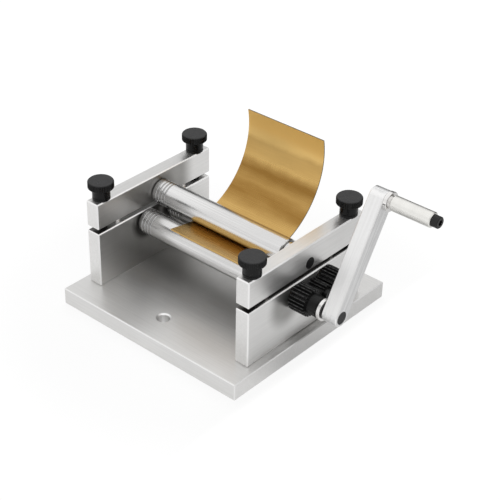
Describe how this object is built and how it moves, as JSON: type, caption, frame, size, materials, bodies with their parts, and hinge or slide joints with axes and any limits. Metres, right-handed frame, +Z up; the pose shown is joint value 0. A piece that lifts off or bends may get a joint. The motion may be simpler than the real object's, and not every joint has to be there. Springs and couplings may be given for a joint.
{
  "type": "bench roller",
  "caption": "Hand-cranked three-roll bench roller for sheet, tube and wire, with geared lower rollers, sliding top bars, thumb screws and a curved brass sheet in the rollers.",
  "frame": {"origin": "middle of the underside of the base plate, where it stands on the bench", "axes": "+X towards the crank, along the rollers; +Y towards the rear, where the bent sheet comes out; +Z up"},
  "size_m": [0.2899, 0.198, 0.1534],
  "materials": {
    "plate_aluminium": "satin milled plate with bright bevels",
    "block_aluminium": "satin, brushed along the length",
    "crank_aluminium": "fine satin, milled lengthwise",
    "roller_steel": "fine turned and ground",
    "bright_steel": "polished",
    "black_steel": "black oxide, slightly oily",
    "knob_plastic": "moulded black plastic, satin",
    "bronze": "sintered bronze, dull",
    "brass": "satin rolled brass"
  },
  "bodies": {
    "frame": {"base_plate": "plate_aluminium", "left_cheek": "block_aluminium", "right_cheek": "block_aluminium", "cheek_screws": "black_steel", "guide_pins": "bright_steel", "front_bush_left": "bronze", "front_bush_right": "bronze", "rear_bush_left": "bronze", "rear_bush_right": "bronze", "idler_pin": "black_steel", "idler_screw": "black_steel"},
    "crank": {"front_roller": "roller_steel", "front_gear": "black_steel", "front_gear_grub": "black_steel", "crank_collar": "bright_steel", "crank_washer": "black_steel", "crank_arm": "crank_aluminium", "crank_screw": "black_steel", "crank_grub": "black_steel", "handle_washer": "bright_steel", "handle_screw": "black_steel"},
    "handle": {"handle_sleeve": "crank_aluminium"},
    "idler": {"idler_gear": "black_steel"},
    "rear_roller": {"rear_roller": "roller_steel", "rear_gear": "black_steel", "rear_gear_grub": "black_steel"},
    "left_bar": {"left_cap": "block_aluminium"},
    "right_bar": {"right_cap": "block_aluminium", "upper_axle": "black_steel", "roller_spacer": "roller_steel"},
    "upper_roller": {"upper_roller": "roller_steel"},
    "thumb_fl": {"thumb_knob_fl": "knob_plastic", "thumb_stud_fl": "black_steel"},
    "thumb_rl": {"thumb_knob_rl": "knob_plastic", "thumb_stud_rl": "black_steel"},
    "thumb_fr": {"thumb_knob_fr": "knob_plastic", "thumb_stud_fr": "black_steel"},
    "thumb_rr": {"thumb_knob_rr": "knob_plastic", "thumb_stud_rr": "black_steel"},
    "sheet": {"brass_sheet": "brass"}
  },
  "joints": [
    {"name": "crank_spin", "type": "hinge", "parent": "frame", "child": "crank", "pos_m": [0, -0.017, 0.0583], "axis": [1, 0, 0], "continuous": true},
    {"name": "handle_spin", "type": "hinge", "parent": "crank", "child": "handle", "pos_m": [0.1647, 0.03502, 0.14487], "axis": [1, 0, 0], "continuous": true},
    {"name": "idler_spin", "type": "hinge", "parent": "frame", "child": "idler", "pos_m": [0.103, 0.001, 0.0583], "axis": [1, 0, 0], "continuous": true},
    {"name": "rear_roller_spin", "type": "hinge", "parent": "frame", "child": "rear_roller", "pos_m": [0, 0.019, 0.0583], "axis": [1, 0, 0], "continuous": true},
    {"name": "upper_roller_spin", "type": "hinge", "parent": "right_bar", "child": "upper_roller", "pos_m": [0, 0.001, 0.08057], "axis": [1, 0, 0], "continuous": true},
    {"name": "sheet_roll", "type": "hinge", "parent": "frame", "child": "sheet", "pos_m": [0, 0.001, 0.13692], "axis": [1, 0, 0], "continuous": true},
    {"name": "thumb_fr_spin", "type": "hinge", "parent": "right_bar", "child": "thumb_fr", "pos_m": [0.08525, -0.0634, 0.08057], "axis": [0, 0, 1], "range_deg": [0, 1728]},
    {"name": "thumb_rr_spin", "type": "hinge", "parent": "right_bar", "child": "thumb_rr", "pos_m": [0.08525, 0.0596, 0.08057], "axis": [0, 0, 1], "range_deg": [0, 1728]},
    {"name": "thumb_fl_spin", "type": "hinge", "parent": "left_bar", "child": "thumb_fl", "pos_m": [-0.08525, -0.0634, 0.08057], "axis": [0, 0, 1], "range_deg": [0, 1728]},
    {"name": "thumb_rl_spin", "type": "hinge", "parent": "left_bar", "child": "thumb_rl", "pos_m": [-0.08525, 0.0521, 0.08057], "axis": [0, 0, 1], "range_deg": [0, 1728]},
    {"name": "right_bar_slide", "type": "slide", "parent": "frame", "child": "right_bar", "axis": [0, 0, 1], "range_m": [0, 0.006]},
    {"name": "left_bar_slide", "type": "slide", "parent": "frame", "child": "left_bar", "axis": [0, 0, 1], "range_m": [0, 0.006]}
  ],
  "couplings": [
    {"joint": "idler_spin", "follows": "crank_spin", "ratio": -1.5714},
    {"joint": "rear_roller_spin", "follows": "crank_spin", "ratio": 1},
    {"joint": "upper_roller_spin", "follows": "crank_spin", "ratio": -0.98551},
    {"joint": "sheet_roll", "follows": "crank_spin", "ratio": -0.16667},
    {"joint": "left_bar_slide", "follows": "right_bar_slide", "ratio": 1},
    {"joint": "thumb_fr_spin", "follows": "right_bar_slide", "rad_per_m": 5026.5},
    {"joint": "thumb_rr_spin", "follows": "right_bar_slide", "rad_per_m": 5026.5},
    {"joint": "thumb_fl_spin", "follows": "right_bar_slide", "rad_per_m": 5026.5},
    {"joint": "thumb_rl_spin", "follows": "right_bar_slide", "rad_per_m": 5026.5}
  ]
}
